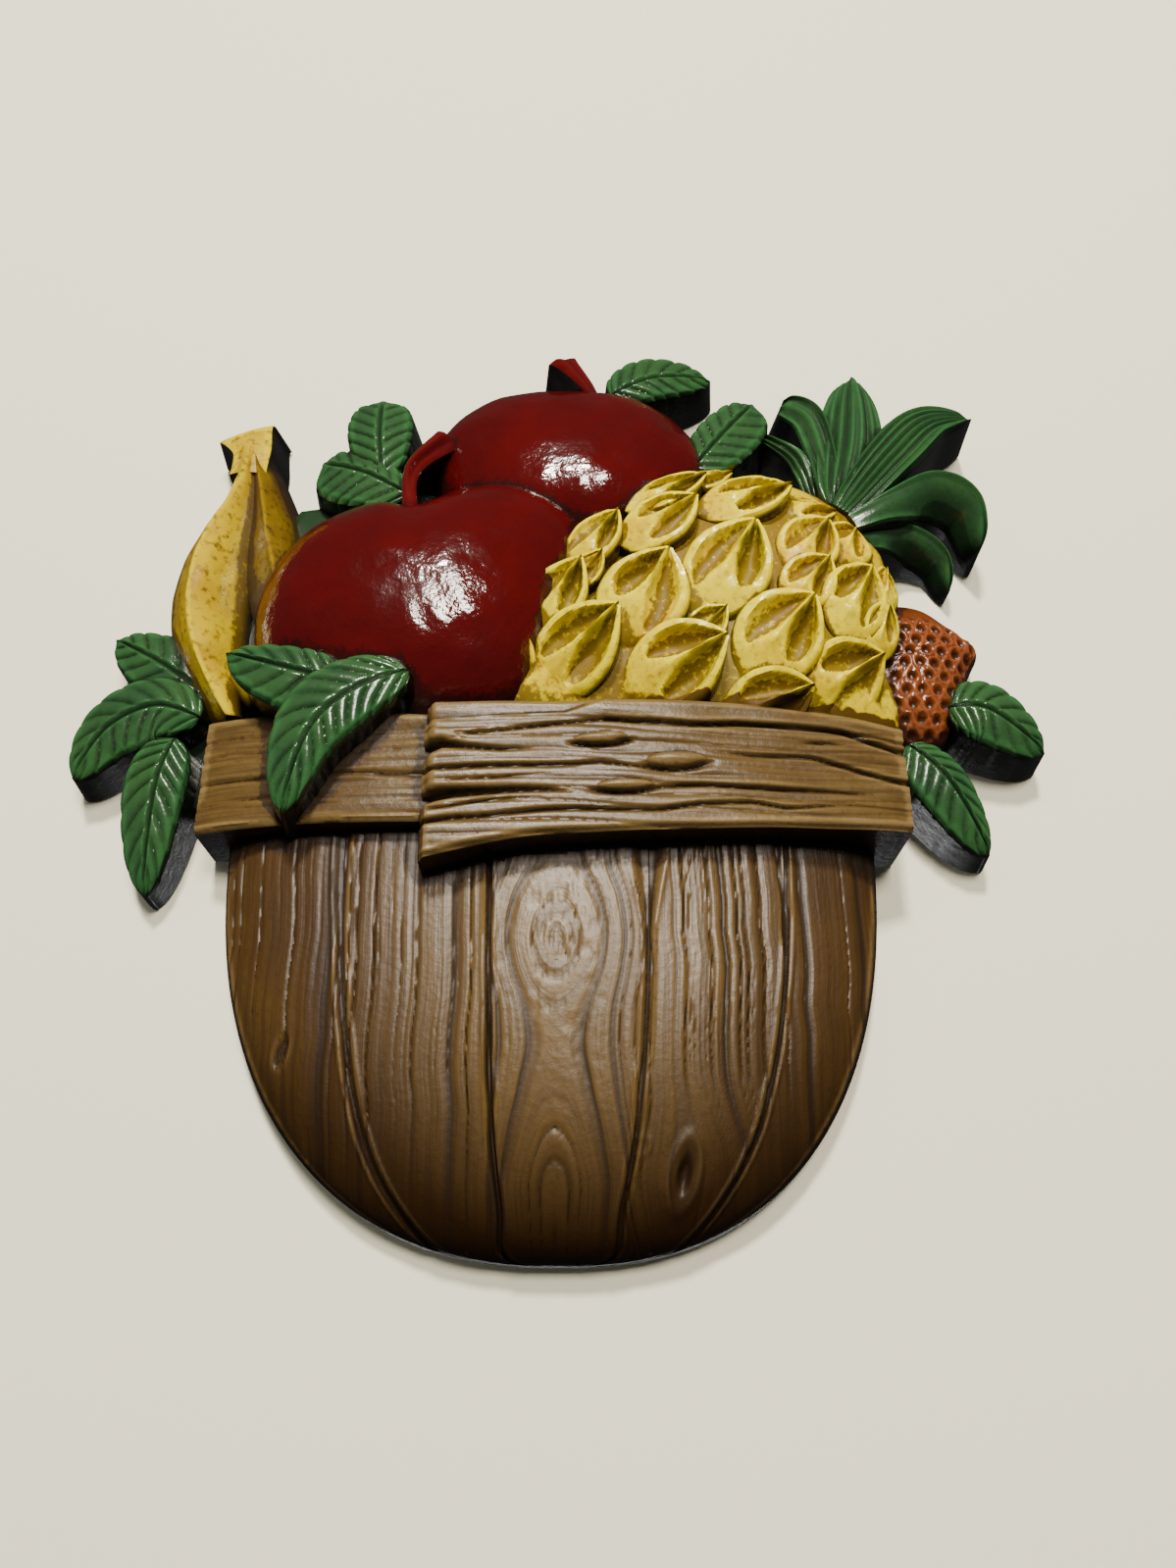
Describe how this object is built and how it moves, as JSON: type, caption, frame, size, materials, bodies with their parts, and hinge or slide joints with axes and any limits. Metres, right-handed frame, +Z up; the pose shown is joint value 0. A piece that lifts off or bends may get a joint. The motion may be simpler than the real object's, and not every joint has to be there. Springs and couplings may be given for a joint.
{
  "type": "decorative wall plaque",
  "caption": "Cast wall plaque in high relief: a slatted basket with a split-wood hoop, heaped with fruit and leaves; flat, hollow back.",
  "frame": {"origin": "on the flat back, at the middle of the bar cast across the hollow that takes the wall hook", "axes": "+Z up as the plaque hangs, +Y into the wall, the relief faces -Y, +X to the right seen from the front"},
  "size_m": [0.1937, 0.033, 0.1922],
  "materials": {
    "painted_casting": "gloss enamel in wood brown, oxblood red, bottle green and lemon yellow under a brown antiquing wash"
  },
  "bodies": {
    "root": {"fruit_basket_casting": "painted_casting"}
  },
  "joints": []
}
